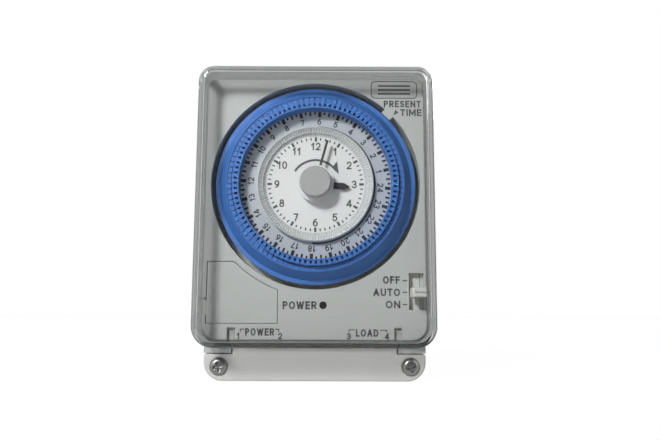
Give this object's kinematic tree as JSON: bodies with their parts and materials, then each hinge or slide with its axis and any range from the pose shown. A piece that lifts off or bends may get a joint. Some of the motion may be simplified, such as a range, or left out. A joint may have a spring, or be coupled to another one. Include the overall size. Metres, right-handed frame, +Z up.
{
  "type": "time switch",
  "caption": "Rail or wall mounted time switch: grey case with a blue 24-hour dial of setting tabs, a clock face with hands, a mode slider and a clear lift-off cover.",
  "frame": {"origin": "on the wall plane, in the middle of the rail groove", "axes": "+Z up, the dial faces -Y, +X to the right as seen from the front, +Y into the wall"},
  "size_m": [0.075, 0.056, 0.1],
  "materials": {
    "panel_grey": "satin grey moulding",
    "base_grey": "satin light grey moulding",
    "clear": "clear polycarbonate",
    "blue": "blue moulding",
    "plate": "silver grey printed plate",
    "face": "pale printed face",
    "bezel": "ribbed pale grey",
    "ink": "dark hands and print",
    "knob": "grey knob",
    "white": "white slider and clip",
    "steel": "zinc plated steel",
    "brass": "bright brass",
    "frame_steel": "plated sheet",
    "nylon": "natural nylon",
    "magnet": "dark magnet",
    "copper": "enamelled copper wire",
    "black": "black moulding",
    "board": "green laminate",
    "film": "ochre case",
    "cell": "sleeved cell",
    "lamp": "dark red lens"
  },
  "bodies": {
    "base": {"rear_base": "base_grey", "front_housing": "panel_grey", "terminal_cover": "base_grey", "terminal_cover_screws": "steel", "housing_screws": "steel", "terminal_plates": "brass", "terminal_screws": "steel", "backup_battery": "cell", "battery_contacts": "steel", "circuit_board": "board", "film_capacitor": "film", "capacitors": "black", "control_chip": "black", "crystal": "steel", "power_lamp": "lamp", "lamp_pipe": "lamp", "dial_clip": "steel", "clock_face": "face", "face_bezel": "bezel", "centre_tube": "brass", "movement_front_plate": "frame_steel", "movement_rear_plate": "frame_steel", "movement_pillars": "brass", "movement_screws": "steel", "motor_can": "steel", "motor_coil": "copper", "lever_pin": "steel", "microswitch": "black"},
    "dial": {"dial_ring": "blue", "tab_ring": "blue", "setting_tabs": "blue", "hour_plate": "plate", "dial_wheel": "nylon"},
    "tab_1": {"setting_tab_1": "blue"},
    "tab_2": {"setting_tab_2": "blue"},
    "tab_3": {"setting_tab_3": "blue"},
    "tab_4": {"setting_tab_4": "blue"},
    "hour": {"hour_wheel": "nylon", "hour_hand": "ink"},
    "minute": {"minute_arbor": "steel", "cannon_pinion": "brass", "minute_hand": "ink", "setting_knob": "knob"},
    "counter": {"counter_arbor": "steel", "counter_wheel": "brass", "dial_pinion": "brass"},
    "drive": {"drive_wheel": "nylon"},
    "motor": {"motor_rotor": "magnet", "motor_pinion": "brass"},
    "lever": {"trip_lever": "nylon"},
    "plunger": {"switch_plunger": "nylon"},
    "cover": {"clear_cover": "clear"},
    "lid": {"battery_lid": "panel_grey"},
    "slider": {"mode_slider": "white"},
    "clip": {"din_clip": "white"}
  },
  "joints": [
    {"name": "dial_spin", "type": "hinge", "parent": "base", "child": "dial", "pos_m": [0, -0.047, 0.0127], "axis": [0, 1, 0], "continuous": true},
    {"name": "hour_spin", "type": "hinge", "parent": "base", "child": "hour", "pos_m": [0, -0.047, 0.0127], "axis": [0, 1, 0], "continuous": true},
    {"name": "minute_spin", "type": "hinge", "parent": "base", "child": "minute", "pos_m": [0, -0.047, 0.0127], "axis": [0, 1, 0], "continuous": true},
    {"name": "counter_spin", "type": "hinge", "parent": "base", "child": "counter", "pos_m": [0, -0.04, 0.0277], "axis": [0, 1, 0], "continuous": true},
    {"name": "drive_spin", "type": "hinge", "parent": "base", "child": "drive", "pos_m": [0, -0.034, 0.0127], "axis": [0, 1, 0], "continuous": true},
    {"name": "motor_spin", "type": "hinge", "parent": "base", "child": "motor", "pos_m": [0, -0.03, -0.0013], "axis": [0, 1, 0], "continuous": true},
    {"name": "cover_slide", "type": "slide", "parent": "base", "child": "cover", "axis": [0, -1, 0], "range_m": [0, 0.03]},
    {"name": "lid_slide", "type": "slide", "parent": "base", "child": "lid", "axis": [0, -1, 0], "range_m": [0, 0.005]},
    {"name": "mode_slide", "type": "slide", "parent": "base", "child": "slider", "axis": [0, 0, 1], "range_m": [-0.0038, 0.0038]},
    {"name": "clip_slide", "type": "slide", "parent": "base", "child": "clip", "axis": [0, 0, -1], "range_m": [0, 0.003], "stiffness_N_per_m": 2000, "springref_m": -0.001},
    {"name": "lever_swing", "type": "hinge", "parent": "base", "child": "lever", "pos_m": [0.015, -0.0425, -0.0023], "axis": [0, -1, 0], "range_deg": [0, 4], "stiffness_Nm_per_rad": 0.08, "springref_deg": -0.57},
    {"name": "plunger_slide", "type": "slide", "parent": "base", "child": "plunger", "axis": [0, 0, -1], "range_m": [-0.0001, 0.0007]},
    {"name": "tab_1_swing", "type": "hinge", "parent": "dial", "child": "tab_1", "pos_m": [0.01978, -0.0491, 0.02943], "axis": [-0.6458, 0, 0.7635], "range_deg": [0, 30]},
    {"name": "tab_2_swing", "type": "hinge", "parent": "dial", "child": "tab_2", "pos_m": [-0.01673, -0.0491, 0.03247], "axis": [-0.7635, 0, -0.6458], "range_deg": [0, 30]},
    {"name": "tab_3_swing", "type": "hinge", "parent": "dial", "child": "tab_3", "pos_m": [-0.01978, -0.0491, -0.00403], "axis": [0.6458, 0, -0.7635], "range_deg": [0, 30]},
    {"name": "tab_4_swing", "type": "hinge", "parent": "dial", "child": "tab_4", "pos_m": [0.01673, -0.0491, -0.00707], "axis": [0.7635, 0, 0.6458], "range_deg": [0, 30]}
  ],
  "couplings": [
    {"joint": "hour_spin", "follows": "dial_spin", "ratio": 2},
    {"joint": "minute_spin", "follows": "dial_spin", "ratio": 24},
    {"joint": "counter_spin", "follows": "dial_spin", "ratio": -8},
    {"joint": "motor_spin", "follows": "drive_spin", "ratio": -6},
    {"joint": "plunger_slide", "follows": "lever_swing", "m_per_rad": 0.009}
  ]
}
